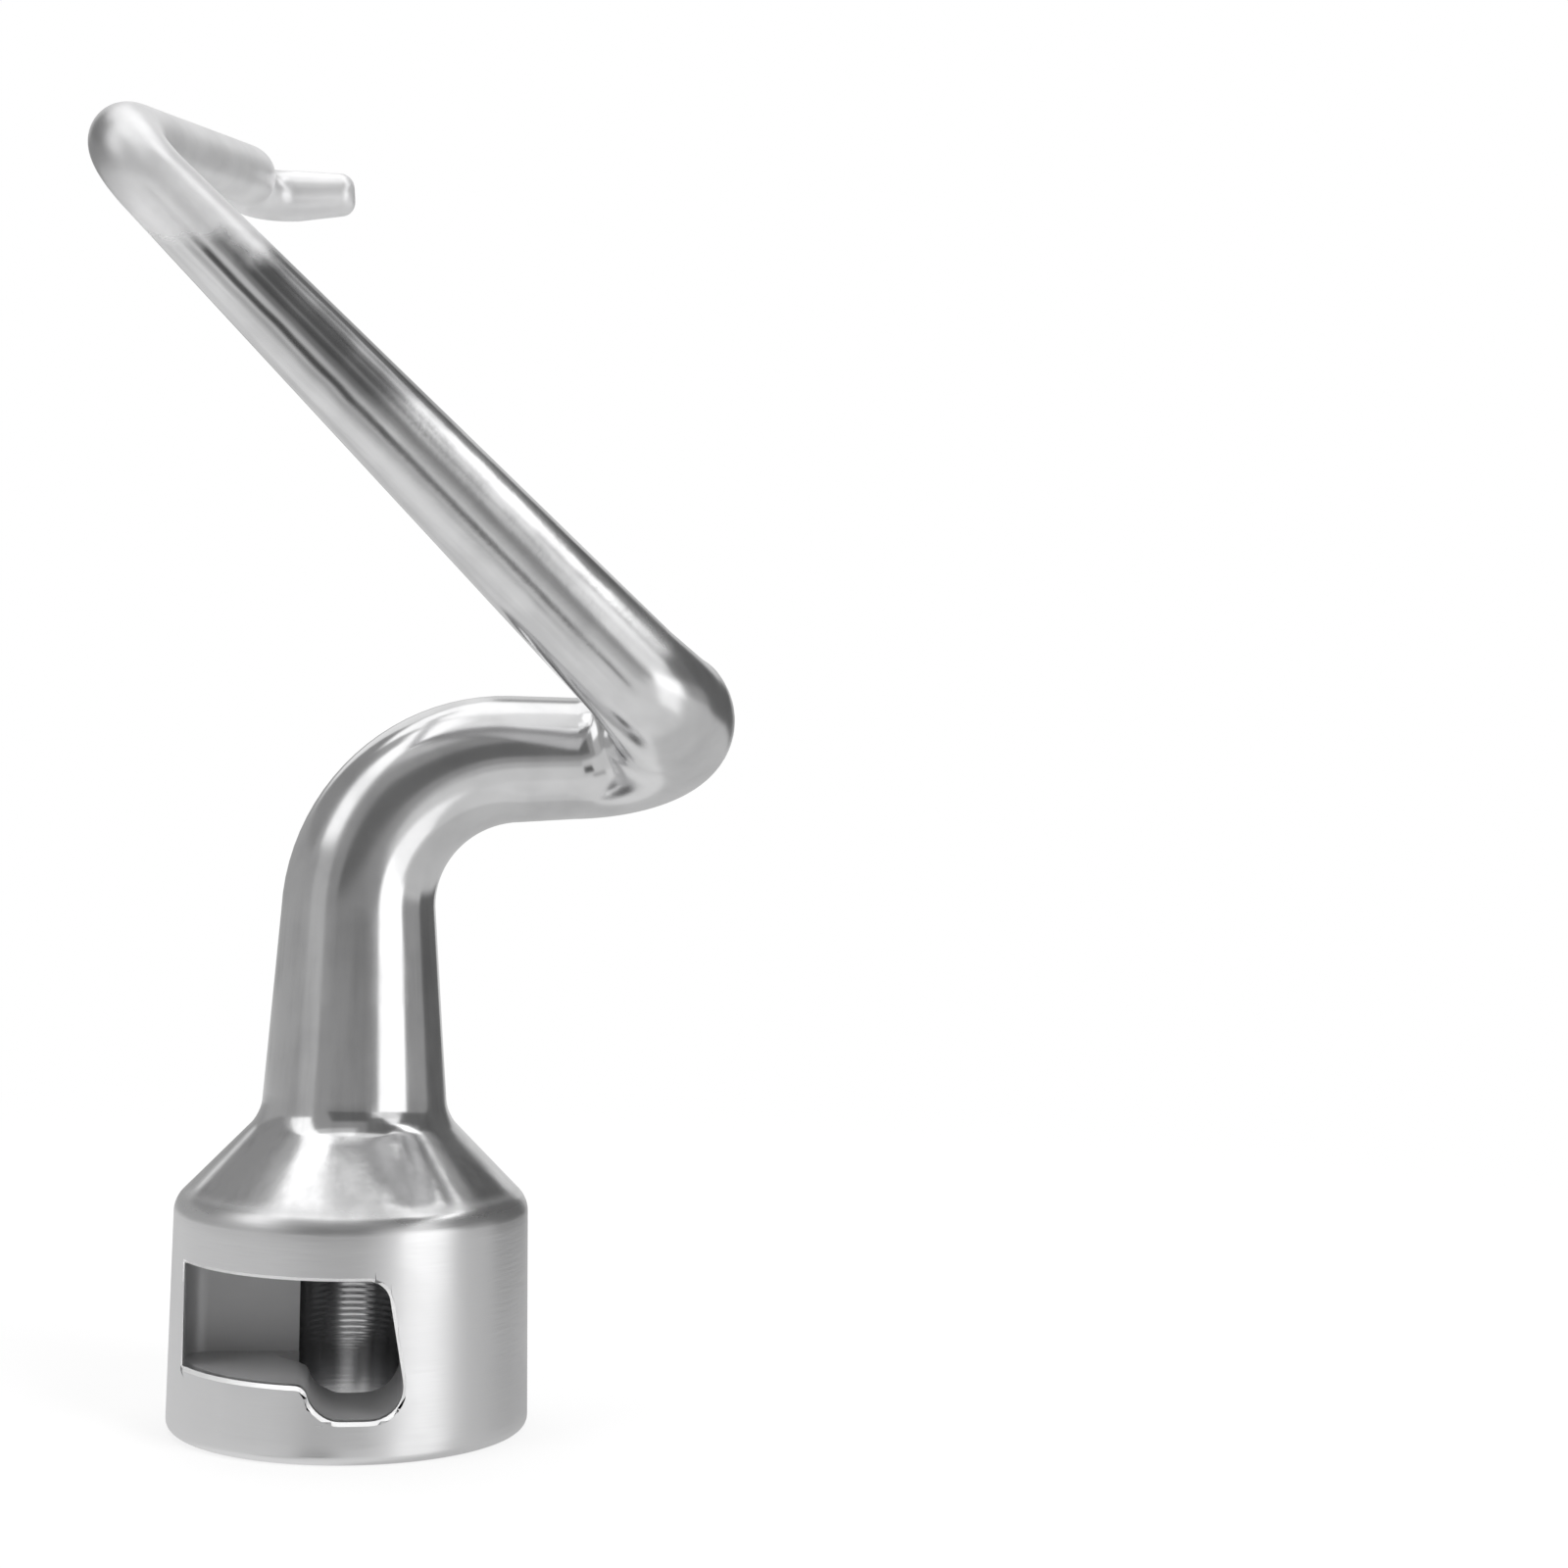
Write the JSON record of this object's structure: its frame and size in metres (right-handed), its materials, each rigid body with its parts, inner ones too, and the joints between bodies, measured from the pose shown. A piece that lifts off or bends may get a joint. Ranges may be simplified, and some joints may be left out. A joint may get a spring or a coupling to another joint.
{
  "type": "dough hook",
  "caption": "Spiral dough hook for a stand mixer: one polished metal casting with a round hub, a bayonet socket and a tapering bent arm.",
  "frame": {"origin": "centre of the hub's open mouth, on the shaft axis, in the plane of the mouth's rim", "axes": "+Z along the shaft axis from the mouth to the arm, -Y out of the bayonet window, +X towards the arm's first bend"},
  "size_m": [0.0802, 0.0624, 0.1659],
  "materials": {
    "polished_metal": "polished bright casting with a satin turned hub"
  },
  "bodies": {
    "root": {"dough_hook": "polished_metal"}
  },
  "joints": []
}
